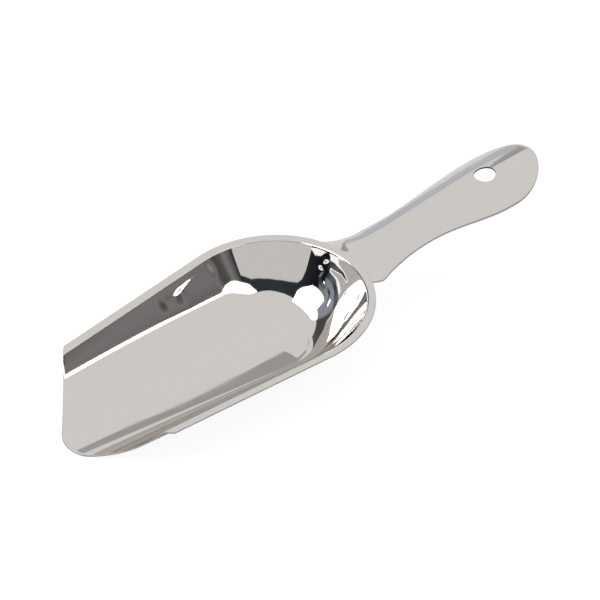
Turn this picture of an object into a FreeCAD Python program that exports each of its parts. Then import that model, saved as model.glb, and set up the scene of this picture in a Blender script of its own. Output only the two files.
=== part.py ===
import FreeCAD, Part
import math
import os
from FreeCAD import Vector

# Ice scoop in polished stainless sheet: a pressed bowl with a flat rim flange, and a pressed
# arched handle whose flat tongue laps under the flange and is spot welded to it.
#
# The parts are drawn in the rim frame: X along the scoop towards the handle's end, Z up, and
# the origin on the flange's top face, at the centre of the rim's half-round closed end.
# At the end they are tipped so that the flat floor of the bowl lies level, and moved so that
# the origin is under the middle of the whole scoop, on the surface it stands on.
# Millimetres and degrees.

# Sheet and rim
SHEET = 0.6                # thickness of both sheets
RIM_RADIUS = 35.0          # outer radius of the half-round closed end
SIDE_TAPER = 5.09          # each straight side runs in towards the mouth by this angle
FLANGE_FLAT = 2.2          # width of the flange's flat ring
BEND_RADIUS = 1.0          # top radius of the bend between flange and wall

# Bowl
WALL_ANGLE = 55.0          # slope of the wall where it leaves the bend
WALL_REACH = 10.8          # length of the wall that stays close to that slope
FLOOR_BLEND = 6.0          # width of the hollow blend between wall and floor
FLOOR_INSET = 23.0         # the flat floor starts this far inside the rim's outer edge
FLOOR_DEPTH = 18.2         # depth of the floor below the flange at the origin
FLOOR_FALL = 0.059         # extra depth of the floor per millimetre towards the handle
SPARE = 1.0                # the shell is drawn this much wider than its outline, then trimmed
SECTION_X = -92.0          # the shell is drawn to here, past the tip

# Mouth, in plan
TIP_X = -86.85             # foremost point of the lip
TIP_RADIUS = 11.8
FLANK_ANGLE = 48.9         # each flank of the lip meets the scoop's axis at this angle
CORNER_RADIUS = 1.6        # rounding where a flank meets the flange's outer edge

# Handle
HANDLE_END_X = 115.3
SPINE = ((31.0, -0.62), (35.5, -0.62), (45.0, 0.15), (60.0, 0.6), (80.0, 1.75),
         (97.0, 2.7), (119.0, 2.65))     # height of the handle's ridge line along X
ARCH_CURVE = 0.028         # fall of the arch is this times the distance from the ridge squared
ARCH_RUN = 13.0            # the flat tongue turns into the full arch over this length
ARCH_EASE = 1.05           # how gently that change starts
RIM_FOLLOW = 28.0          # over this length the handle's sections stop following the rim's curve
HANDLE_EDGE = ((37.8, 13.75), (42.2, 12.05), (47.0, 11.0), (54.0, 10.2), (60.0, 10.0),
               (67.0, 10.35), (75.4, 11.5), (84.2, 13.0), (91.5, 13.85), (97.0, 14.02))
END_CENTRE_X = 97.0        # the handle's end is half an ellipse about this point
SHOULDER_RADIUS = 1.5      # rounding of the two corners beside the rim
HOLE_X = 94.65
HOLE_RADIUS = 3.75

# Lap joint and spot welds
LAP_GAP = 0.02             # between the flange's underside and the tongue
LAP_WIDTH = 1.95           # how far the tongue reaches under the flange
TONGUE_HALF_WIDTH = 14.6   # where the handle's edges pass under the rim
WELD_RADIUS = 0.75
WELD_ANGLES = (-20.0, -10.0, 0.0, 10.0, 20.0)
WELD_COVER = 0.15          # sheet left above and below each weld nugget

# Construction
PRISM_REACH = 60.0         # outlines are drawn as blocks this far above and below the flange
HANDLE_REACH = 16.0        # the arch is drawn to here each side of the ridge, then trimmed
ACROSS_STEPS = 16          # spacing of the points that the arch's surface passes through
ROOT_STEP = 0.8            # ... along X beside the rim, where the arch begins
HANDLE_STEP = 3.0          # ... along X over the rest of the handle
NEAR = 0.01                # two places closer than this are the same

TAPER = math.radians(SIDE_TAPER)
WALL = math.radians(WALL_ANGLE)
QUARTER = math.radians(90.0 + SIDE_TAPER)     # half of the closed end's arc
LEVEL = math.atan(FLOOR_FALL)                 # tip of the rim frame when the floor is level


def side_y(radius, x):
    """Half-width at x of the straight line that is tangent to a circle of this radius."""
    return (radius + x * math.sin(TAPER)) / math.cos(TAPER)


def mirrored(point):
    return Vector(point.x, -point.y, point.z)


def spline(poles, weights):
    """Bezier edge with these control points and weights."""
    degree = len(poles) - 1
    curve = Part.BSplineCurve()
    curve.buildFromPolesMultsKnots(
        poles, (degree + 1,) * 2, (0.0, 1.0), False, degree, weights)
    return curve.toShape()


def patch(poles, weights):
    """Bezier face with this net of control points and weights."""
    u_degree = len(poles) - 1
    v_degree = len(poles[0]) - 1
    surface = Part.BSplineSurface()
    surface.buildFromPolesMultsKnots(
        poles, (u_degree + 1,) * 2, (v_degree + 1,) * 2, (0.0, 1.0), (0.0, 1.0),
        False, False, u_degree, v_degree, weights)
    return surface.toShape()


def solid_of(faces):
    """Closed solid made by sewing faces."""
    shell = Part.Shell(faces)
    shell.sewShape()
    solid = Part.Solid(Part.Shell(shell.Faces))
    solid.fix(0.001, 0.001, 0.001)
    return solid


# ---- Bowl ----

def ring(row):
    """Control points and weights of one ring of the bowl, as four spans from mouth to mouth.

    A row is (inset from the rim, height at the origin, extra depth per millimetre of X).
    """
    inset, height, fall = row
    radius = RIM_RADIUS - inset
    half = QUARTER / 2

    def at(x, y):
        return Vector(x, y, height - fall * x)

    outer = radius / math.cos(half)
    mouth = at(SECTION_X, side_y(radius, SECTION_X))
    tangent = at(radius * math.cos(QUARTER), radius * math.sin(QUARTER))
    corner = at(outer * math.cos(half), outer * math.sin(half))
    back = at(radius, 0)
    arc = (1.0, math.cos(half), 1.0)
    return (
        ((mouth, tangent), (1.0, 1.0)),
        ((tangent, corner, back), arc),
        ((back, mirrored(corner), mirrored(tangent)), arc),
        ((mirrored(tangent), mirrored(mouth)), (1.0, 1.0)),
    )


def band(rows, row_weights):
    """Faces of the bowl between the first and the last of these control rows."""
    rings = [ring(row) for row in rows]
    faces = []
    for spans in zip(*rings):
        poles = [points for points, _ in spans]
        weights = [[row_weight * weight for weight in span_weights]
                   for (_, span_weights), row_weight in zip(spans, row_weights)]
        faces.append(patch(poles, weights))
    return faces


def profile(depth):
    """Bands of the skin that lies this far under the top face: (control rows, weights)."""
    radius = BEND_RADIUS - depth
    stretch = depth * math.tan(WALL / 4) * 4 / 3     # an outer skin's curves are longer
    reach = WALL_REACH + stretch
    bend_end = FLANGE_FLAT + radius * math.sin(WALL)
    bend_height = -depth - radius * (1 - math.cos(WALL))
    floor_height = -FLOOR_DEPTH - depth / math.cos(LEVEL)
    flange = (
        (-SPARE, -depth, 0.0),
        (FLANGE_FLAT, -depth, 0.0),
    )
    bend = (
        (FLANGE_FLAT, -depth, 0.0),
        (FLANGE_FLAT + radius * math.tan(WALL / 2), -depth, 0.0),
        (bend_end, bend_height, 0.0),
    )
    wall = (
        (bend_end, bend_height, 0.0),
        (bend_end + reach * math.cos(WALL), bend_height - reach * math.sin(WALL), 0.0),
        (FLOOR_INSET - FLOOR_BLEND - stretch, floor_height, FLOOR_FALL),
        (FLOOR_INSET, floor_height, FLOOR_FALL),
    )
    return (
        (flange, (1.0, 1.0)),
        (bend, (1.0, math.cos(WALL / 2), 1.0)),
        (wall, (1.0, 1.0, 1.0, 1.0)),
    )


def skin(depth):
    """One skin of the bowl, and its outline in the mouth's section plane."""
    faces = []
    outline = []
    bands = profile(depth)
    for rows, row_weights in bands:
        faces += band(rows, row_weights)
        mouth_poles = [ring(row)[0][0][0] for row in rows]
        outline.append(spline(mouth_poles, row_weights))
        outline.append(spline([mirrored(pole) for pole in mouth_poles], row_weights))
    floor_ring = ring(bands[-1][0][-1])     # the wall's last row is the floor's edge
    floor_mouth = floor_ring[0][0][0]
    floor_line = Part.makeLine(floor_mouth, mirrored(floor_mouth))
    floor_edges = [spline(points, weights) for points, weights in floor_ring]
    faces.append(Part.Face(Part.Wire(Part.__sortEdges__(floor_edges + [floor_line]))))
    outline.append(floor_line)
    return faces, outline


def bowl_shell():
    """The bowl's sheet before its outline is trimmed."""
    top_faces, top_outline = skin(0.0)
    under_faces, under_outline = skin(SHEET)
    rim_rows = ((-SPARE, 0.0, 0.0), (-SPARE, -SHEET, 0.0))
    rim_top, rim_under = [ring(row)[0][0][0] for row in rim_rows]
    ends = [
        Part.makeLine(rim_top, rim_under),
        Part.makeLine(mirrored(rim_top), mirrored(rim_under)),
    ]
    section = Part.Face(Part.Wire(Part.__sortEdges__(top_outline + under_outline + ends)))
    faces = top_faces + under_faces + band(rim_rows, (1.0, 1.0)) + [section]
    return solid_of(faces)


def bowl_outline():
    """Prism over the bowl's outline in plan: closed end, straight sides and pointed lip."""
    flank = math.radians(FLANK_ANGLE)
    tip_centre = TIP_X + TIP_RADIUS
    # Where the lip's arc ends, and where the flank through that point meets the side.
    lip_x = tip_centre - TIP_RADIUS * math.sin(flank)
    lip_y = TIP_RADIUS * math.cos(flank)
    side_slope = math.tan(TAPER)
    flank_slope = math.tan(flank)
    corner_x = (lip_y - flank_slope * lip_x - RIM_RADIUS / math.cos(TAPER)) / (
        side_slope - flank_slope)
    corner = Vector(corner_x, side_y(RIM_RADIUS, corner_x), 0)
    setback = CORNER_RADIUS * math.tan((flank - TAPER) / 2)
    on_side = corner + Vector(math.cos(TAPER), math.sin(TAPER), 0) * setback
    on_flank = corner - Vector(math.cos(flank), math.sin(flank), 0) * setback
    sagitta = CORNER_RADIUS * (1 / math.cos((flank - TAPER) / 2) - 1)
    inward = (flank + TAPER) / 2 - math.pi / 2
    on_corner = corner + Vector(math.cos(inward), math.sin(inward), 0) * sagitta
    tangent = Vector(RIM_RADIUS * math.cos(QUARTER), RIM_RADIUS * math.sin(QUARTER), 0)
    back = Vector(RIM_RADIUS, 0, 0)
    tip = Vector(TIP_X, 0, 0)
    lip = Vector(lip_x, lip_y, 0)
    edges = [
        Part.Arc(tangent, back, mirrored(tangent)).toShape(),
        Part.Arc(lip, tip, mirrored(lip)).toShape(),
    ]
    for side in (Vector, mirrored):
        edges.append(Part.makeLine(side(tangent), side(on_side)))
        edges.append(Part.Arc(side(on_side), side(on_corner), side(on_flank)).toShape())
        edges.append(Part.makeLine(side(on_flank), side(lip)))
    return prism(edges)


def prism(edges):
    """Upright block over a closed outline, tall enough to pass through the whole scoop."""
    face = Part.Face(Part.Wire(Part.__sortEdges__(edges)))
    face.translate(Vector(0, 0, -PRISM_REACH))
    return face.extrude(Vector(0, 0, 2 * PRISM_REACH))


# ---- Handle ----

def spine_height(x):
    """Height of the handle's ridge: a smooth curve through the SPINE points."""
    for (x0, z0), (x1, z1) in zip(SPINE, SPINE[1:]):
        if x <= x1:
            break
    slopes = dict(zip([point[0] for point in SPINE], spine_slopes()))
    span = x1 - x0
    t = (x - x0) / span
    return (z0 * (1 + 2 * t) * (1 - t) ** 2 + z1 * t * t * (3 - 2 * t)
            + span * slopes[x0] * t * (1 - t) ** 2 - span * slopes[x1] * t * t * (1 - t))


def spine_slopes():
    """Slope of the ridge at each SPINE point, level at both ends."""
    slopes = [0.0, 0.0]
    for (x0, z0), (x1, z1) in zip(SPINE[1:], SPINE[3:]):
        slopes.append((z1 - z0) / (x1 - x0))
    slopes.append(0.0)
    return slopes


def arch_share(station):
    """How much of the full arch is there: 0 on the flat tongue, 1 along the handle."""
    run = (station - RIM_RADIUS) / ARCH_RUN
    run = min(max(run, 0.0), 1.0)
    return math.sin(run * math.pi / 2) ** ARCH_EASE


def handle_point(station, y, depth):
    """Point of the handle's skin that lies this far under its top face."""
    follow = 1 - (station - RIM_RADIUS) / RIM_FOLLOW
    follow = min(max(follow, 0.0), 1.0)
    follow = follow * follow * (3 - 2 * follow)
    x = station - follow * (RIM_RADIUS - math.sqrt(RIM_RADIUS ** 2 - y * y))
    curve = ARCH_CURVE * arch_share(station)
    curve = curve / (1 - 2 * curve * depth)
    return Vector(x, y, spine_height(station) - depth - curve * y * y)


def handle_skin(depth):
    """One skin of the handle, drawn wider and longer than its outline."""
    root = RIM_RADIUS - LAP_WIDTH - SPARE
    stations = [root]
    while stations[-1] < HANDLE_END_X + SPARE:
        near_root = stations[-1] < RIM_RADIUS + ARCH_RUN
        stations.append(stations[-1] + (ROOT_STEP if near_root else HANDLE_STEP))
    across = [HANDLE_REACH * (2 * i / ACROSS_STEPS - 1) for i in range(ACROSS_STEPS + 1)]
    grid = [[handle_point(station, y, depth) for y in across] for station in stations]
    surface = Part.BSplineSurface()
    surface.interpolate(grid)
    return surface


def handle_shell():
    """The handle's sheet before its outline is trimmed."""
    top = handle_skin(0.0)
    under = handle_skin(SHEET)
    faces = [top.toShape(), under.toShape()]
    for index in range(4):
        faces.append(Part.makeRuledSurface(faces[0].Edges[index], faces[1].Edges[index]))
    return solid_of(faces)


def handle_outline():
    """Prism over the handle's outline in plan, from under the flange to its rounded end."""
    root_radius = RIM_RADIUS - LAP_WIDTH
    root_x = math.sqrt(root_radius ** 2 - TONGUE_HALF_WIDTH ** 2)
    root = Vector(root_x, TONGUE_HALF_WIDTH, 0)
    shoulder = Vector(HANDLE_EDGE[0][0], HANDLE_EDGE[0][1], 0)
    widest = Vector(END_CENTRE_X, HANDLE_EDGE[-1][1], 0)
    flank = Part.BSplineCurve()
    flank.interpolate([Vector(x, y, 0) for x, y in HANDLE_EDGE])
    end = Part.Ellipse(Vector(HANDLE_END_X, 0, 0), widest, Vector(END_CENTRE_X, 0, 0))
    edges = [
        Part.Arc(root, Vector(root_radius, 0, 0), mirrored(root)).toShape(),
        end.toShape(-math.pi / 2, math.pi / 2),
        flank.toShape(),
        flank.toShape().mirror(Vector(0, 0, 0), Vector(0, 1, 0)),
        Part.makeLine(root, shoulder),
        Part.makeLine(mirrored(root), mirrored(shoulder)),
    ]
    block = prism(edges)
    corners = [edge for edge in block.Edges if is_upright_at(edge, shoulder)]
    return block.makeFillet(SHOULDER_RADIUS, corners)


def is_upright_at(edge, point):
    """Whether this is one of a prism's upright edges, at this point or its mirror image."""
    first, last = edge.Vertexes[0].Point, edge.Vertexes[-1].Point
    same_plan = math.hypot(first.x - last.x, first.y - last.y) < NEAR
    return same_plan and math.hypot(first.x - point.x, abs(first.y) - point.y) < NEAR


# ---- Spot welds ----

def spot_welds():
    """Weld nuggets, each a short cylinder standing across the lap of the two sheets."""
    height = 2 * SHEET + LAP_GAP - 2 * WELD_COVER
    radius = RIM_RADIUS - LAP_WIDTH / 2
    nuggets = []
    for angle in WELD_ANGLES:
        turn = math.radians(angle)
        base = Vector(radius * math.cos(turn), radius * math.sin(turn), -WELD_COVER - height)
        nuggets.append(Part.makeCylinder(WELD_RADIUS, height, base))
    return Part.makeCompound(nuggets)


def make_parts():
    """All sub-parts in the rim frame, by name."""
    welds = spot_welds()
    hole = Part.makeCylinder(HOLE_RADIUS, 2 * PRISM_REACH, Vector(HOLE_X, 0, -PRISM_REACH))
    return {
        "bowl": bowl_shell().common(bowl_outline()).cut(welds),
        "handle": handle_shell().common(handle_outline()).cut(hole).cut(welds),
        "spot_welds": welds,
    }


def place(parts):
    """Level the bowl's floor, and put the origin under the middle of the whole scoop."""
    for shape in parts.values():
        shape.rotate(Vector(0, 0, 0), Vector(0, 1, 0), -math.degrees(LEVEL))
    box = Part.makeCompound(list(parts.values())).optimalBoundingBox(False, False)
    shift = Vector(-(box.XMin + box.XMax) / 2, -(box.YMin + box.YMax) / 2, -box.ZMin)
    for shape in parts.values():
        shape.translate(shift)
    print("shift from the rim frame", [round(value, 4) for value in shift])


def main():
    parts = make_parts()
    place(parts)
    os.makedirs("parts", exist_ok=True)
    for name, shape in parts.items():
        print(name, "solids", len(shape.Solids), "volume", round(shape.Volume, 2),
              "valid", shape.isValid())
        shape.exportStep("parts/" + name + ".step")


main()
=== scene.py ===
import math

import bmesh
import bpy
import numpy as np
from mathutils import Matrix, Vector


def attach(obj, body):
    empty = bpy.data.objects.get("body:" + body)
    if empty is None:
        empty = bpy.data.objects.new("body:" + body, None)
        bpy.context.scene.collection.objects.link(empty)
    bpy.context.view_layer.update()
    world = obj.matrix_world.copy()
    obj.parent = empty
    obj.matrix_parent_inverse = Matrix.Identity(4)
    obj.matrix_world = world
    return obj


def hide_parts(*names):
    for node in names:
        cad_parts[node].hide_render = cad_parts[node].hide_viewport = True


# Looks of the stainless ice scoop. The bowl and the handle are built again as fine, even meshes,
# because a polished surface shows every facet, and their cut edges get a small rounding.
#
# Shapes are drawn in millimetres in the rim frame: X towards the handle's end, Z up, and the
# origin on the flange's top face at the centre of the rim's half-round closed end. to_row_frame()
# then takes them to the frame of the CAD model, in metres.

# Sheet and rim
SHEET = 0.6
EDGE_ROUND = 0.1           # rounding of the sheet's cut edges
RIM_RADIUS = 35.0
SIDE_TAPER = 5.09
FLANGE_FLAT = 2.2
BEND_RADIUS = 1.0

# Bowl
WALL_ANGLE = 55.0
WALL_REACH = 10.8
FLOOR_BLEND = 6.0
FLOOR_INSET = 23.0
FLOOR_DEPTH = 18.2
FLOOR_FALL = 0.059
HOLLOW = 0.4               # the pressed floor sags a little towards its middle line
HOLLOW_WIDTH = 14.5        # how wide that sag is
END_LIFT = 0.5             # the floor turns up this much before the closed end
END_LIFT_LENGTH = 9.0
# Small marks that drawing the sheet left in the wall: (points (x, y, inset), width, height).
WRINKLES = (
    (((-15.6, 27.6, 6.1), (-11.8, 28.4, 5.6), (-3.2, 29.6, 5.2)), 2.2, 0.5),
    (((-23.5, 27.0, 6.0), (-18.0, 27.2, 6.3)), 1.8, 0.3),
    (((29.6, 7.0, 4.4), (27.6, 7.6, 5.8), (27.4, 5.0, 6.4), (26.0, 5.6, 8.4),
      (24.6, 3.2, 9.6)), 0.8, 0.16),
    (((25.4, 2.0, 8.4), (24.5, -1.2, 10.2), (22.4, -1.8, 12.4), (20.0, -2.6, 14.6)), 0.7, 0.14),
    (((28.8, 3.0, 5.4), (29.0, -1.4, 5.6), (28.2, -4.6, 6.2)), 0.8, 0.14),
    (((22.6, -12.0, 9.0), (25.2, -11.4, 7.0), (27.6, -12.0, 5.0)), 0.8, 0.1),
    (((20.0, -14.0, 10.0), (23.6, -14.2, 7.4), (26.0, -15.2, 5.0)), 0.8, 0.1),
)
TIP_X = -86.85
TIP_RADIUS = 11.8
FLANK_ANGLE = 48.9
CORNER_RADIUS = 1.6
SECTION_X = -92.0

# Handle
HANDLE_END_X = 115.3
SPINE = ((31.0, -0.62), (35.5, -0.62), (45.0, 0.15), (60.0, 0.6), (80.0, 1.75),
         (97.0, 2.7), (119.0, 2.65))
ARCH_CURVE = 0.028
ARCH_RUN = 13.0
ARCH_EASE = 1.05
RIM_FOLLOW = 28.0
HANDLE_EDGE = ((37.8, 13.75), (42.2, 12.05), (47.0, 11.0), (54.0, 10.2), (60.0, 10.0),
               (67.0, 10.35), (75.4, 11.5), (84.2, 13.0), (91.5, 13.85), (97.0, 14.02))
END_CENTRE_X = 97.0
ROOT_X = 33.05             # the tongue's inner end, under the flange
TONGUE_HALF_WIDTH = 14.6
HOLE_X = 94.65
HOLE_RADIUS = 3.75
HOLE_PATCH_X = 82.0        # from here on the mesh runs in rings round the hanging hole

# From the rim frame to the row frame
SHIFT_X = -14.5245
SHIFT_Z = 18.7684
INSIDE = 0.01              # the mesh stays this much inside the CAD model's outline

# Points of the meshes
SIDE_COLUMNS = 96          # along each straight side of the bowl
END_COLUMNS = 256          # round its closed end
CORNER_ROWS = 7            # across the outermost part of the flange
FLANGE_ROWS = 6            # across the rest of it
BEND_ROWS = 13
WALL_ROWS = 57
FLOOR_ROWS = 13
ACROSS = 72                # across the handle
EDGE_COLUMNS = 30          # along each side of the patch round the hole
ROUND_COLUMNS = 90         # round the handle's end
PATCH_ROWS = 24            # from the hole out to the patch's outline
SETTLE_STEPS = 24          # rounds of the handle's step-by-step solutions

# Floor
FLOOR_REACH = 6.0          # metres from the middle to each side
FLOOR_GAP = 0.0001         # the floor lies this far under the scoop
FLOOR_DIFFUSE = 0.8
FLOOR_FAINT = 0.15         # how strongly the camera sees the shadow on it
FLOOR_GLOW = 0.9

# Studio round the scoop. Each card is a strip of stations: (azimuth, lowest and highest
# elevation, brightness), in degrees from the scoop, azimuth 0 being +X and 90 being +Y.
CARD_DISTANCE = 4.0        # metres
CARD_STEP = 2.0            # degrees of azimuth
COOL_TINT = (0.84, 1.0, 1.3)
PALE_COOL_TINT = (0.95, 1.0, 1.08)
GREY_COOL_TINT = (0.92, 1.0, 1.15)
SOFTBOX_TIP = ((183, 43, 56, 6), (178, 38, 56, 6), (165, 30, 55, 6), (150, 26, 53, 6),
               (139, 25, 51, 6), (137, 35, 50, 6), (126, 36, 48, 6), (118, 37, 46, 6))
GREY_TIP = ((156, 20, 29, 0.2), (150, 19, 27, 0.35), (139, 17, 26, 0.4),
            (137, 17, 36, 0.45), (126, 16, 37, 0.45), (118, 16, 38, 0.3))
SOFTBOX_FRONT = ((-46, 33.6, 34.8, 4.0), (-50, 33.8, 35.8, 4.0), (-60, 34, 40, 2.2),
                 (-70, 35.5, 45, 2.4), (-76, 37, 47.5, 2.4), (-85, 41, 51.5, 2.4),
                 (-94, 44.5, 52.8, 2.4), (-103, 52, 53, 2.4))
REFLECTOR = ((-87.5, 10, 37, 0.88), (-100, 10, 42, 0.88), (-120, 10, 43.5, 0.88),
             (-140, 10, 43.5, 0.88), (-160, 10, 41, 0.88), (-172, 10, 38, 0.88),
             (-177, 10, 34, 0.88), (-178.5, 10, 28, 0.88))
DARK_FRONT = ((-42, 0, 27, 0.35), (-46, 0, 33.8, 0.32), (-49.5, 0, 34.2, 0.2),
              (-51, 0, 34.2, 0.24), (-54, 0, 34.3, 0.28), (-57, 0, 34.5, 0.18),
              (-62, 0, 34.8, 0.1), (-70, 0, 36, 0.13), (-76, 0, 38, 0.3), (-85, 0, 41.5, 0.1))
DARK_SIDE = ((-70, 20, 44, 0.06), (-86, 20, 51, 0.04), (-104, 20, 53.5, 0.05),
             (-150, 20, 53.5, 0.05), (-180, 22, 52, 0.03), (-200, 17, 51, 0.01),
             (-207, 15.5, 50, 0.08), (-215, 14.5, 46, 0.2), (-224, 13.5, 43, 0.06),
             (-233, 12, 40, 0.2), (-241, 12, 38, 0.1))
DARK_BACK = ((121, 12, 38, 0.1), (110, 22, 38, 0.1), (90, 24, 38.5, 0.1), (70, 25, 39, 0.15))
FAR_WALL = ((46, 33, 36.8, 0.7), (48, 33, 36.8, 0.5), (51.5, 29, 37.2, 0.5),
            (53, 26, 37.7, 0.5), (53.5, 22, 38.0, 0.5), (54, 20, 38.7, 0.5),
            (55.2, 12, 39.7, 0.54), (56.6, 8, 38.8, 0.56))
FAR_STRIP = ((56.6, -50, 25, 0.74), (60, -50, 25, 0.74), (75, -50, 25, 0.72),
             (121, -50, 24, 0.72))
FAR_LINE = ((57, 20.5, 23.5, 1.15), (75, 20.5, 23.5, 1.15))
HORIZON_LINE = ((182, 21, 22.5, 1.6), (176, 20.5, 22, 1.6), (153, 14, 15.5, 1.6),
                (140, 12, 13.5, 1.6), (127, 10.5, 12, 1.6))
HORIZON_GREY = ((185, -15, 22, 0.68), (153, -15, 14.5, 0.68), (127, -15, 11.5, 0.68),
                (118, -15, 13, 0.68))

# Camera, in degrees and metres, and in parts of the image for the shifts
CAMERA_AZIMUTH = -39.56
CAMERA_ELEVATION = 38.23
CAMERA_DISTANCE = 2.0
CAMERA_TARGET = (-0.0145245, 0.0, 0.0187684)
CAMERA_LENS = 359.8
CAMERA_SHIFT_X = 0.0481
CAMERA_SHIFT_Y = 0.0031

TAPER = math.radians(SIDE_TAPER)
WALL = math.radians(WALL_ANGLE)
FLANK = math.radians(FLANK_ANGLE)
QUARTER = math.radians(90.0 + SIDE_TAPER)
LEVEL = math.atan(FLOOR_FALL)


# ---- Mesh helpers ----

def to_row_frame(points):
    """Rim frame in millimetres to the CAD model's frame in metres."""
    x, y, z = points[..., 0], points[..., 1], points[..., 2]
    level_x = x * math.cos(LEVEL) - z * math.sin(LEVEL) + SHIFT_X
    level_z = x * math.sin(LEVEL) + z * math.cos(LEVEL) + SHIFT_Z
    return np.stack([level_x, y, level_z], axis=-1) / 1000


def grid_faces(rows, columns, start, closed=False):
    """Quads between the points of a grid whose first vertex has this number."""
    faces = []
    across = columns if closed else columns - 1
    for i in range(rows - 1):
        for j in range(across):
            k = (j + 1) % columns
            faces.append((start + i * columns + j, start + i * columns + k,
                          start + (i + 1) * columns + k, start + (i + 1) * columns + j))
    return faces


class Sheet:
    """Collects grids of points, and makes one welded, smoothly shaded mesh of them."""

    def __init__(self):
        self.points = []
        self.faces = []
        self.finishes = []

    def add(self, grid, closed=False, finish=0):
        """Adds a grid; finish is 0 for polished faces, 1 for cut edges and 2 for the hole."""
        rows, columns = grid.shape[:2]
        faces = grid_faces(rows, columns, len(self.points), closed)
        self.finishes.extend([finish] * len(faces))
        self.points.extend(to_row_frame(grid).reshape(-1, 3))
        self.faces.extend(faces)

    def build(self, name, materials, nodes):
        mesh = bpy.data.meshes.new(name)
        mesh.from_pydata([tuple(point) for point in self.points], [], self.faces)
        for material in materials:
            mesh.materials.append(material)
        mesh.polygons.foreach_set("material_index", self.finishes)
        weld(mesh)
        for polygon in mesh.polygons:
            polygon.use_smooth = True
        piece = bpy.data.objects.new(name, mesh)
        bpy.context.scene.collection.objects.link(piece)
        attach(piece, "root")
        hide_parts(*nodes)
        return piece


def weld(mesh):
    """Joins the points that neighbouring grids share, and turns every face outwards."""
    work = bmesh.new()
    work.from_mesh(mesh)
    bmesh.ops.remove_doubles(work, verts=work.verts, dist=1e-6)
    bmesh.ops.dissolve_degenerate(work, edges=work.edges, dist=1e-7)
    bmesh.ops.recalc_face_normals(work, faces=work.faces)
    work.to_mesh(mesh)
    work.free()


def even(first, last, count):
    return np.linspace(first, last, count)


def eased(first, last, count):
    """Numbers from first to last, close together near first."""
    return first + (last - first) * np.linspace(0, 1, count) ** 2


def edge_steps():
    """Section of a cut edge, from the top face to the underside: (depth, distance inwards)."""
    steps = []
    for turn in even(0, math.pi / 2, 5):
        steps.append((EDGE_ROUND * (1 - math.cos(turn)), EDGE_ROUND * (1 - math.sin(turn))))
    return steps + [(SHEET - depth, inwards) for depth, inwards in reversed(steps)]


# ---- Bowl ----

def side_y(radius, x):
    """Half-width at x of the straight line that is tangent to a circle of this radius."""
    return (radius + x * math.sin(TAPER)) / math.cos(TAPER)


def mouth_distance(x, y, trim):
    """How far a point in plan is outside the lip's outline, when that is drawn in by trim."""
    tip_x = TIP_X + TIP_RADIUS
    lip = np.array([tip_x - TIP_RADIUS * math.sin(FLANK), TIP_RADIUS * math.cos(FLANK)])
    # Corner between the flank's line and the rim's side line, and the centre of its rounding.
    corner_x = (lip[1] - math.tan(FLANK) * lip[0] - RIM_RADIUS / math.cos(TAPER)) / (
        math.tan(TAPER) - math.tan(FLANK))
    corner = np.array([corner_x, side_y(RIM_RADIUS, corner_x)])
    inward = (FLANK + TAPER) / 2 - math.pi / 2
    reach = CORNER_RADIUS / math.cos((FLANK - TAPER) / 2)
    centre = corner + reach * np.array([math.cos(inward), math.sin(inward)])
    flank_side = (y - lip[1]) * math.cos(FLANK) - (x - lip[0]) * math.sin(FLANK)
    rim_side = (y - corner[1]) * math.cos(TAPER) - (x - corner[0]) * math.sin(TAPER)

    along_flank = (x - centre[0]) * math.cos(FLANK) + (y - centre[1]) * math.sin(FLANK)
    along_rim = (x - centre[0]) * math.cos(TAPER) + (y - centre[1]) * math.sin(TAPER)
    at_corner = np.hypot(x - centre[0], y - centre[1]) - CORNER_RADIUS
    past_lip = (x - lip[0]) * math.cos(FLANK) + (y - lip[1]) * math.sin(FLANK) < 0
    at_tip = np.hypot(x - tip_x, y) - TIP_RADIUS
    distance = np.where(along_flank > 0, at_corner, flank_side)
    distance = np.where(along_rim > 0, rim_side, distance)
    distance = np.where(past_lip, at_tip, distance)
    return distance + trim


def mouth_x(line_y, start, trim):
    """X where each line y = line_y(x) leaves the outline, going from start towards the tip."""
    inside = np.array(start, dtype=float)
    outside = np.full_like(inside, SECTION_X)
    for _ in range(48):
        middle = (inside + outside) / 2
        out = mouth_distance(middle, line_y(middle), trim) > 0
        outside = np.where(out, middle, outside)
        inside = np.where(out, inside, middle)
    return inside


def bowl_rows(depth, trim):
    """Rows of the bowl's section from the rim to the floor's edge, on the skin at this depth.

    Each row is the control rows of its band and their shares: (inset, height, fall) each.
    """
    radius = BEND_RADIUS - depth
    stretch = depth * math.tan(WALL / 4) * 4 / 3
    reach = WALL_REACH + stretch
    bend_end = FLANGE_FLAT + radius * math.sin(WALL)
    bend_height = -depth - radius * (1 - math.cos(WALL))
    floor_height = -FLOOR_DEPTH - depth / math.cos(LEVEL)
    wall = ((bend_end, bend_height, 0.0),
            (bend_end + reach * math.cos(WALL), bend_height - reach * math.sin(WALL), 0.0),
            (FLOOR_INSET - FLOOR_BLEND - stretch, floor_height, FLOOR_FALL),
            (FLOOR_INSET, floor_height, FLOOR_FALL))
    rows = []
    corner = 0.5
    alone = (1.0, 0.0, 0.0, 0.0)
    flange = [eased(trim, corner, CORNER_ROWS), even(corner, FLANGE_FLAT, FLANGE_ROWS)[1:]]
    for inset in np.concatenate(flange):
        rows.append(((inset, -depth, 0.0),) * 4 + (alone,))
    for turn in even(0, WALL, BEND_ROWS)[1:-1]:
        point = (FLANGE_FLAT + radius * math.sin(turn),
                 -depth - radius * (1 - math.cos(turn)), 0.0)
        rows.append((point,) * 4 + (alone,))
    for t in even(0, 1, WALL_ROWS):
        shares = ((1 - t) ** 3, 3 * t * (1 - t) ** 2, 3 * t * t * (1 - t), t ** 3)
        rows.append(wall + (shares,))
    return rows


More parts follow.
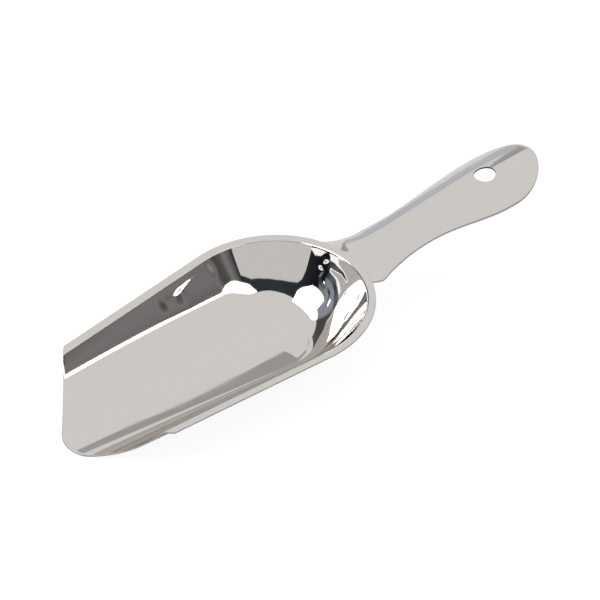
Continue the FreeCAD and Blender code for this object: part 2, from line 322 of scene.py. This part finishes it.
def row_points(row, trim):
    """One row from the mouth on the +Y side, round the closed end, to the mouth on the other."""
    controls, shares = row[:4], row[4]
    inset = sum(share * control[0] for share, control in zip(shares, controls))
    radius = RIM_RADIUS - inset
    start = radius * math.cos(QUARTER)
    mouth = mouth_x(lambda x: side_y(radius, x), [start], trim)[0]
    # Share of the way from the section plane to the closed end, as the control rows see it.
    ways = (even(mouth, start, SIDE_COLUMNS + 1) - SECTION_X) / (start - SECTION_X)
    turns = even(QUARTER, -QUARTER, END_COLUMNS + 1)

    side = np.zeros((len(ways), 3))
    end = np.zeros((len(turns), 3))
    for share, (control_inset, height, fall) in zip(shares, controls):
        ring = RIM_RADIUS - control_inset
        x = SECTION_X + ways * (ring * math.cos(QUARTER) - SECTION_X)
        side += share * np.stack([x, side_y(ring, x), height - fall * x], axis=-1)
        x = ring * np.cos(turns)
        end += share * np.stack([x, ring * np.sin(turns), height - fall * x], axis=-1)
    other = side[::-1] * np.array([1, -1, 1])
    return wrinkle(hollow(np.concatenate([side, end[1:-1], other]), inset), inset)


def bump_along(line, width, x, y, inset):
    """1 on this line of points (x, y, inset) and 0 a few widths away from it."""
    share = np.zeros_like(x)
    for (x0, y0, i0), (x1, y1, i1) in zip(line, line[1:]):
        run = (x1 - x0, y1 - y0, i1 - i0)
        length = run[0] ** 2 + run[1] ** 2 + run[2] ** 2
        way = ((x - x0) * run[0] + (y - y0) * run[1] + (inset - i0) * run[2]) / length
        way = np.clip(way, 0, 1)
        away = ((x - x0 - way * run[0]) ** 2 + (y - y0 - way * run[1]) ** 2
                + (inset - i0 - way * run[2]) ** 2)
        share = np.maximum(share, np.exp(-away / width ** 2))
    return share


def wrinkle(points, inset):
    """Presses the drawing marks into one row of the wall, at this distance from the rim."""
    x, y = points[..., 0], points[..., 1]
    for line, width, height in WRINKLES:
        rise = height * bump_along(line, width, x, y, inset)
        points[..., 2] += rise
    return points


def hollow(points, inset):
    """Lifts the floor's sides and its closed end a little above its middle, out to the wall."""
    fade = np.clip((inset - FLOOR_INSET / 3) / (FLOOR_INSET * 2 / 3), 0, 1)
    fade = fade * fade * (3 - 2 * fade)
    across = points[..., 1] / HOLLOW_WIDTH
    along = np.maximum(points[..., 0], 0) / END_LIFT_LENGTH
    lift = HOLLOW * (1 - np.exp(-across ** 2)) + END_LIFT * (1 - np.exp(-along ** 2))
    points[..., 2] += lift * fade
    return points


def floor_points(depth, trim, share):
    """One row of the flat floor; share is 0 at its edge and 1 on the middle line."""
    edge = RIM_RADIUS - FLOOR_INSET
    height = -FLOOR_DEPTH - depth / math.cos(LEVEL)
    start = edge * math.cos(QUARTER)
    wide = 1 - share
    mouth = mouth_x(lambda x: wide * side_y(edge, x), [start], trim)[0]
    x = even(mouth, start, SIDE_COLUMNS + 1)
    side = np.stack([x, wide * side_y(edge, x), height - FLOOR_FALL * x], axis=-1)
    # The closed end's rows shrink to the point where the floor's middle line starts.
    turns = even(QUARTER, -QUARTER, END_COLUMNS + 1)
    x = start + wide * (edge * np.cos(turns) - start)
    end = np.stack([x, wide * edge * np.sin(turns), height - FLOOR_FALL * x], axis=-1)
    other = side[::-1] * np.array([1, -1, 1])
    return hollow(np.concatenate([side, end[1:-1], other]), FLOOR_INSET)


def bowl_skin(depth, trim):
    """Grid of the bowl's skin at this depth, from the rim to the floor's middle line."""
    rows = [row_points(row, trim) for row in bowl_rows(depth, trim)]
    rows += [floor_points(depth, trim, share) for share in even(0, 1, FLOOR_ROWS)[1:]]
    return np.array(rows)


def bowl_edge(depth, trim):
    """The bowl's outline on the skin at this depth: one mouth, the rim, the other mouth."""
    grid = bowl_skin(depth, trim)
    return np.concatenate([grid[::-1, 0], grid[0, 1:-1], grid[:, -1]])


def make_bowl(materials):
    sheet = Sheet()
    sheet.add(bowl_skin(0.0, EDGE_ROUND))
    sheet.add(bowl_skin(SHEET, EDGE_ROUND))
    edges = [bowl_edge(depth, trim + INSIDE) for depth, trim in edge_steps()]
    edges[0] = bowl_edge(0.0, EDGE_ROUND)
    edges[-1] = bowl_edge(SHEET, EDGE_ROUND)
    sheet.add(np.array(edges), finish=1)
    return sheet.build("polished_bowl", materials, ["bowl"])


# ---- Handle ----

def spine_height(station):
    """Height of the handle's ridge: a smooth curve through the SPINE points."""
    xs = np.array([point[0] for point in SPINE])
    zs = np.array([point[1] for point in SPINE])
    slopes = np.zeros(len(xs))
    slopes[2:-1] = (zs[3:] - zs[1:-2]) / (xs[3:] - xs[1:-2])
    return hermite(station, xs, zs, slopes)


def hermite(at, xs, ys, slopes):
    """Cubic curve with these values and slopes at xs."""
    i = np.clip(np.searchsorted(xs, at, side="right") - 1, 0, len(xs) - 2)
    span = xs[i + 1] - xs[i]
    t = (at - xs[i]) / span
    return (ys[i] * (1 + 2 * t) * (1 - t) ** 2 + ys[i + 1] * t * t * (3 - 2 * t)
            + span * slopes[i] * t * (1 - t) ** 2 - span * slopes[i + 1] * t * t * (1 - t))


def rim_follow(station):
    """1 beside the rim, where the handle's sections follow its curve, and 0 further out."""
    follow = np.clip(1 - (station - RIM_RADIUS) / RIM_FOLLOW, 0, 1)
    return follow * follow * (3 - 2 * follow)


def rim_fall(y):
    """How far back the rim's outer circle lies at this distance from the middle."""
    return RIM_RADIUS - np.sqrt(RIM_RADIUS ** 2 - np.clip(np.abs(y), 0, 20) ** 2)


def handle_surface(x, y, depth):
    """Points of the handle's skin at this depth, over points in plan."""
    station = x.copy()
    for _ in range(SETTLE_STEPS):
        station = x + rim_follow(station) * rim_fall(y)
    run = np.clip((station - RIM_RADIUS) / ARCH_RUN, 0, 1)
    curve = ARCH_CURVE * np.sin(run * math.pi / 2) ** ARCH_EASE
    curve = curve / (1 - 2 * curve * depth)
    return np.stack([x, y, spine_height(station) - depth - curve * y * y], axis=-1)


def edge_slopes():
    """Slopes that make the curve through the HANDLE_EDGE points smooth to its bends."""
    xs = np.array([point[0] for point in HANDLE_EDGE])
    ys = np.array([point[1] for point in HANDLE_EDGE])
    gap = np.diff(xs)
    rise = np.diff(ys) / gap
    count = len(xs)
    system = np.zeros((count, count))
    right = np.zeros(count)
    system[0, :2] = (2, 1)
    right[0] = 3 * rise[0]
    system[-1, -1] = 1
    right[-1] = 0
    for i in range(1, count - 1):
        system[i, i - 1:i + 2] = (gap[i], 2 * (gap[i - 1] + gap[i]), gap[i - 1])
        right[i] = 3 * (gap[i] * rise[i - 1] + gap[i - 1] * rise[i])
    return xs, ys, np.linalg.solve(system, right)


EDGE_CURVE = edge_slopes()


def half_width(x):
    """Half the handle's width at x, between the root and the rounded end."""
    root_x = math.sqrt(ROOT_X ** 2 - TONGUE_HALF_WIDTH ** 2)
    first_x, first_y = HANDLE_EDGE[0]
    root = first_y + (TONGUE_HALF_WIDTH - first_y) * (first_x - x) / (first_x - root_x)
    xs, ys, slopes = EDGE_CURVE
    flank = hermite(np.maximum(x, first_x), xs, ys, slopes)
    flank = flank + np.minimum(x - first_x, 0) * slopes[0]
    softness = 0.2
    shoulder = (root + flank - np.sqrt((root - flank) ** 2 + softness ** 2)) / 2
    return np.where(x < HANDLE_EDGE[2][0], shoulder, flank)


def handle_body(depth, trim, root_trim):
    """Grid of the handle from its root to the start of the patch round the hole."""
    stations = np.concatenate([
        even(ROOT_X + root_trim, 49, 41), even(49, HOLE_PATCH_X, 45)[1:]])
    rows = []
    for station in stations:
        edge = 12.0
        for _ in range(SETTLE_STEPS):
            x = station - rim_follow(station) * rim_fall(edge)
            edge = half_width(x) - trim
        y = edge * even(-1, 1, ACROSS + 1)
        x = station - rim_follow(station) * rim_fall(y)
        rows.append(handle_surface(x, y, depth))
    return np.array(rows)


def patch_outline(trim):
    """Closed outline, in plan, of the patch round the hole."""
    side_x = even(HOLE_PATCH_X, END_CENTRE_X, EDGE_COLUMNS + 1)
    side_y_values = half_width(side_x) - trim
    across = even(-1, 1, ACROSS + 1) * side_y_values[0]
    start = np.stack([np.full(ACROSS + 1, HOLE_PATCH_X), across], axis=-1)
    turns = even(math.pi / 2, -math.pi / 2, ROUND_COLUMNS + 1)
    end_width = side_y_values[-1]
    end = np.stack([END_CENTRE_X + (HANDLE_END_X - END_CENTRE_X - trim) * np.cos(turns),
                    end_width * np.sin(turns)], axis=-1)
    side = np.stack([side_x, side_y_values], axis=-1)
    other = side[::-1] * np.array([1, -1])
    return np.concatenate([start, side[1:], end[1:-1], other[:-1]])


def hole_circle(outline, radius):
    """Points of a circle round the hole, each towards its point of the outline."""
    centre = np.array([HOLE_X, 0.0])
    away = outline - centre
    return centre + radius * away / np.linalg.norm(away, axis=-1, keepdims=True)


def handle_patch(depth, trim, hole_trim):
    """Rings of points between the hole and the patch's outline."""
    outline = patch_outline(trim)
    circle = hole_circle(outline, HOLE_RADIUS + hole_trim)
    rows = []
    for share in eased(0, 1, PATCH_ROWS):
        plan = circle + (outline - circle) * share
        rows.append(handle_surface(plan[:, 0], plan[:, 1], depth))
    return np.array(rows)


def handle_edge(depth, trim):
    """The handle's outline on the skin at this depth, as a closed ring."""
    body = handle_body(depth, trim, trim)
    plan = patch_outline(trim)[ACROSS:]
    end = handle_surface(plan[:, 0], plan[:, 1], depth)
    near_side = body[::-1, 0]
    return np.concatenate([end, near_side, body[0, 1:-1], body[:-1, -1]])


def hole_edge(depth, trim):
    """The hole's outline on the skin at this depth, drawn outwards by trim."""
    circle = hole_circle(patch_outline(0.0), HOLE_RADIUS + trim)
    return handle_surface(circle[:, 0], circle[:, 1], depth)


def make_handle(materials):
    sheet = Sheet()
    for depth in (0.0, SHEET):
        sheet.add(handle_body(depth, EDGE_ROUND, EDGE_ROUND))
        sheet.add(handle_patch(depth, EDGE_ROUND, EDGE_ROUND), closed=True)
    steps = edge_steps()
    edges = [handle_edge(depth, trim + INSIDE) for depth, trim in steps]
    edges[0] = handle_edge(0.0, EDGE_ROUND)
    edges[-1] = handle_edge(SHEET, EDGE_ROUND)
    sheet.add(np.array(edges), closed=True, finish=1)
    hole = [hole_edge(depth, trim) for depth, trim in steps]
    sheet.add(np.array(hole), closed=True, finish=2)
    return sheet.build("polished_handle", materials, ["handle"])


# ---- Materials ----

def new_material(name):
    material = bpy.data.materials.new(name)
    material.use_nodes = True
    tree = material.node_tree
    shader = tree.nodes["Principled BSDF"]
    return material, tree, shader


def add_node(tree, kind, **settings):
    node = tree.nodes.new(kind)
    for name, value in settings.items():
        setattr(node, name, value)
    return node


def grain(tree, stretch, detail=3.0):
    """Noise drawn out into fine lines: its cells per metre along X, Y and Z of the scoop."""
    place = add_node(tree, "ShaderNodeTexCoord")
    scale = add_node(tree, "ShaderNodeMapping")
    scale.inputs["Scale"].default_value = stretch
    noise = add_node(tree, "ShaderNodeTexNoise")
    noise.inputs["Scale"].default_value = 1.0
    noise.inputs["Detail"].default_value = detail
    tree.links.new(place.outputs["Object"], scale.inputs["Vector"])
    tree.links.new(scale.outputs["Vector"], noise.inputs["Vector"])
    return noise.outputs["Fac"]


def spread(tree, value, low, high):
    """Takes a noise value to the range from low to high."""
    node = add_node(tree, "ShaderNodeMapRange")
    node.inputs["From Min"].default_value = 0.3
    node.inputs["From Max"].default_value = 0.7
    node.inputs["To Min"].default_value = low
    node.inputs["To Max"].default_value = high
    tree.links.new(value, node.inputs["Value"])
    return node.outputs["Result"]


def on_walls(tree):
    """0.06 on the bowl's floor and 1 up on its walls and flange."""
    place = add_node(tree, "ShaderNodeTexCoord")
    split = add_node(tree, "ShaderNodeSeparateXYZ")
    tree.links.new(place.outputs["Object"], split.inputs["Vector"])
    rise = add_node(tree, "ShaderNodeMapRange", interpolation_type="SMOOTHSTEP")
    rise.inputs["From Min"].default_value = 0.002
    rise.inputs["From Max"].default_value = 0.006
    rise.inputs["To Min"].default_value = 0.06
    rise.inputs["To Max"].default_value = 1.0
    tree.links.new(split.outputs["Z"], rise.inputs["Value"])
    return rise.outputs["Result"]


def bump(tree, height, depth, under=None, strength=None):
    """Bump of this depth in metres, on top of another one."""
    node = add_node(tree, "ShaderNodeBump")
    node.inputs["Strength"].default_value = 1.0
    if strength is not None:
        tree.links.new(strength, node.inputs["Strength"])
    node.inputs["Distance"].default_value = depth
    tree.links.new(height, node.inputs["Height"])
    if under is not None:
        tree.links.new(under, node.inputs["Normal"])
    return node.outputs["Normal"]


def shade_between(tree, value, dark, light):
    """Colour between dark and light, by a noise value."""
    node = add_node(tree, "ShaderNodeMix", data_type="RGBA")
    node.inputs["A"].default_value = dark + (1.0,)
    node.inputs["B"].default_value = light + (1.0,)
    tree.links.new(value, node.inputs["Factor"])
    return node.outputs["Result"]


def steel(name, lines, line_depth, waves, wave_depth, roughness, dark, light, where=None):
    """Stainless steel with polishing lines, slow waves in the sheet and uneven polish."""
    material, tree, shader = new_material(name)
    shader.inputs["Metallic"].default_value = 1.0
    fine = grain(tree, lines)
    slow = grain(tree, waves, 1.0)
    patches = grain(tree, (60.0, 60.0, 60.0), 2.0)
    colour = shade_between(tree, fine, dark, light)
    tree.links.new(colour, shader.inputs["Base Color"])
    rough = spread(tree, patches, *roughness)
    tree.links.new(rough, shader.inputs["Roughness"])
    waved = bump(tree, slow, wave_depth)
    strength = where(tree) if where else None
    lined = bump(tree, fine, line_depth, waved, strength)
    tree.links.new(lined, shader.inputs["Normal"])
    return material


def bowl_polish():
    """Mirror polish, with short lines up and down the walls."""
    return steel("bowl_polish", (2600.0, 260.0, 260.0), 1.6e-6, (45.0, 45.0, 45.0), 4e-6,
                 (0.01, 0.05), (0.57, 0.543, 0.52), (0.625, 0.595, 0.568), on_walls)


def handle_polish():
    """A slightly softer polish, with lines along the handle."""
    return steel("handle_polish", (260.0, 2400.0, 2400.0), 3e-7, (30.0, 30.0, 30.0), 3e-6,
                 (0.06, 0.1), (0.575, 0.548, 0.525), (0.62, 0.59, 0.563))


def dull_cut_edge_painted_shade():
    """The sheet's sheared and dressed edge, duller than its faces, with its colour darkened as
    painted shade.
    """
    return steel("dull_cut_edge_painted_shade", (1500.0, 1500.0, 400.0), 2e-6, (60.0, 60.0, 60.0), 2e-6,
                 (0.25, 0.4), (0.3, 0.295, 0.29), (0.42, 0.41, 0.4))


def hole_wall_painted_shade():
    """The punched wall of the hanging hole, its steel colour darkened almost to black: painted
    shade.
    """
    return steel("hole_wall_painted_shade", (900.0, 900.0, 2400.0), 3e-6, (200.0, 200.0, 200.0), 2e-6,
                 (0.3, 0.45), (0.03, 0.03, 0.03), (0.09, 0.088, 0.085))


def weld_metal():
    """Fused steel inside the lap, dull and slightly darkened."""
    return steel("weld_metal", (900.0, 900.0, 900.0), 4e-6, (200.0, 200.0, 200.0), 4e-6,
                 (0.4, 0.55), (0.34, 0.33, 0.32), (0.48, 0.46, 0.44))


# ---- Stage ----

def make_floor():
    mesh = bpy.data.meshes.new("floor")
    corners = [(-1, -1), (1, -1), (1, 1), (-1, 1)]
    points = [(x * FLOOR_REACH, y * FLOOR_REACH, 0.0) for x, y in corners]
    mesh.from_pydata(points, [], [(0, 1, 2, 3)])
    floor = bpy.data.objects.new("floor", mesh)
    bpy.context.scene.collection.objects.link(floor)
    floor.location.z = -FLOOR_GAP
    mesh.materials.append(floor_paper())


def floor_paper():
    """White paper that the camera sees evenly lit, with only a trace of a shadow."""
    material, tree, shader = new_material("floor_paper")
    shader.inputs["Base Color"].default_value = (FLOOR_DIFFUSE,) * 3 + (1,)
    shader.inputs["Roughness"].default_value = 1.0
    shader.inputs["Specular IOR Level"].default_value = 0.0
    seen = tree.nodes.new("ShaderNodeLightPath")
    glow = tree.nodes.new("ShaderNodeEmission")
    faint = tree.nodes.new("ShaderNodeBsdfDiffuse")
    faint.inputs["Color"].default_value = (FLOOR_FAINT,) * 3 + (1,)
    glow.inputs["Strength"].default_value = FLOOR_GLOW
    both = tree.nodes.new("ShaderNodeAddShader")
    mix = tree.nodes.new("ShaderNodeMixShader")
    links = tree.links
    links.new(glow.outputs["Emission"], both.inputs[0])
    links.new(faint.outputs["BSDF"], both.inputs[1])
    links.new(seen.outputs["Is Camera Ray"], mix.inputs["Fac"])
    links.new(shader.outputs["BSDF"], mix.inputs[1])
    links.new(both.outputs["Shader"], mix.inputs[2])
    links.new(mix.outputs["Shader"], tree.nodes["Material Output"].inputs["Surface"])
    return material


def card_material():
    """Glows in the colour that is stored at each point of a card."""
    material = bpy.data.materials.new("card_glow")
    material.use_nodes = True
    tree = material.node_tree
    tree.nodes.clear()
    glow = tree.nodes.new("ShaderNodeEmission")
    shade = tree.nodes.new("ShaderNodeAttribute")
    shade.attribute_name = "glow"
    out = tree.nodes.new("ShaderNodeOutputMaterial")
    tree.links.new(shade.outputs["Color"], glow.inputs["Color"])
    tree.links.new(glow.outputs["Emission"], out.inputs["Surface"])
    return material


def make_card(name, stations, layer, material, tint=(1.0, 1.0, 1.0)):
    """A curved card in the studio: only reflections and soft light see it, not the camera."""
    stations = sorted(stations)
    azimuths, lows, highs, brightness = np.array(stations, dtype=float).T
    steps = int((azimuths[-1] - azimuths[0]) / CARD_STEP) + 2
    along = np.union1d(azimuths, even(azimuths[0], azimuths[-1], steps))
    low = np.radians(np.interp(along, azimuths, lows))
    high = np.radians(np.interp(along, azimuths, highs))
    glow = np.interp(along, azimuths, brightness)
    rows = 6
    points = []
    colours = []
    for share in even(0, 1, rows):
        elevation = low + (high - low) * share
        turn = np.radians(along)
        reach = CARD_DISTANCE - 0.1 * layer
        points.append(reach * np.stack([np.cos(turn) * np.cos(elevation),
                                        np.sin(turn) * np.cos(elevation),
                                        np.sin(elevation)], axis=-1))
        colours.append(glow[:, None] * np.array(tint))
    points = np.concatenate(points)
    colours = np.concatenate([np.concatenate(colours), np.ones((len(points), 1))], axis=1)
    mesh = bpy.data.meshes.new(name)
    mesh.from_pydata([tuple(point) for point in points], [], grid_faces(rows, len(along), 0))
    attribute = mesh.attributes.new("glow", "FLOAT_COLOR", "POINT")
    attribute.data.foreach_set("color", colours.astype(np.float32).ravel())
    mesh.materials.append(material)
    card = bpy.data.objects.new(name, mesh)
    bpy.context.scene.collection.objects.link(card)
    card.visible_camera = False
    card.visible_shadow = False


def make_studio():
    """Sets up the cards; a card on a higher layer hides those behind it."""
    material = card_material()
    make_card("dark_side", DARK_SIDE, 0, material, COOL_TINT)
    make_card("dark_front", DARK_FRONT, 1, material)
    make_card("dark_back", DARK_BACK, 1, material)
    make_card("reflector", REFLECTOR, 2, material)
    make_card("far_wall", FAR_WALL, 1, material)
    make_card("far_strip", FAR_STRIP, 0, material, PALE_COOL_TINT)
    make_card("far_line", FAR_LINE, 2, material)
    make_card("horizon_grey", HORIZON_GREY, 1, material)
    make_card("horizon_line", HORIZON_LINE, 3, material)
    make_card("softbox_front", SOFTBOX_FRONT, 3, material)
    make_card("softbox_tip", SOFTBOX_TIP, 3, material)
    make_card("grey_tip", GREY_TIP, 2, material, GREY_COOL_TINT)


def make_world():
    """An even white surround."""
    world = bpy.data.worlds.new("studio")
    bpy.context.scene.world = world
    world.use_nodes = True
    world.node_tree.nodes["Background"].inputs["Color"].default_value = (1, 1, 1, 1)


def make_camera():
    """Looks at the scoop from the mouth's side, well above it, with a long lens."""
    azimuth = math.radians(CAMERA_AZIMUTH)
    elevation = math.radians(CAMERA_ELEVATION)
    back = Vector((math.sin(azimuth) * math.cos(elevation),
                   -math.cos(azimuth) * math.cos(elevation), math.sin(elevation)))
    data = bpy.data.cameras.new("camera")
    data.sensor_width = 36.0
    data.lens = CAMERA_LENS
    data.shift_x = CAMERA_SHIFT_X
    data.shift_y = CAMERA_SHIFT_Y
    camera = bpy.data.objects.new("camera", data)
    camera.rotation_mode = "QUATERNION"
    camera.rotation_quaternion = (-back).to_track_quat("-Z", "Y")
    camera.location = Vector(CAMERA_TARGET) + back * CAMERA_DISTANCE
    data.clip_start = 0.05
    data.clip_end = 50
    bpy.context.scene.collection.objects.link(camera)
    bpy.context.scene.camera = camera


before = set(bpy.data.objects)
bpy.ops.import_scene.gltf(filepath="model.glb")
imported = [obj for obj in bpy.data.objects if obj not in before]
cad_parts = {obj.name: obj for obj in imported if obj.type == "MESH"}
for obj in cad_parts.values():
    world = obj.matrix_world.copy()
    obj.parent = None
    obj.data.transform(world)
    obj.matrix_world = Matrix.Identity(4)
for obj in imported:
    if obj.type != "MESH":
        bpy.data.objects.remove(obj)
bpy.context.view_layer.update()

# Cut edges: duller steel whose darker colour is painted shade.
edge = dull_cut_edge_painted_shade()
make_bowl([bowl_polish(), edge])
# The hole's wall gets a near-black steel colour: painted shade.
make_handle([handle_polish(), edge, hole_wall_painted_shade()])
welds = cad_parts["spot_welds"]
welds.data.materials.clear()
welds.data.materials.append(weld_metal())

make_floor()
make_world()
make_studio()
make_camera()
bpy.context.scene.view_settings.view_transform = "Standard"
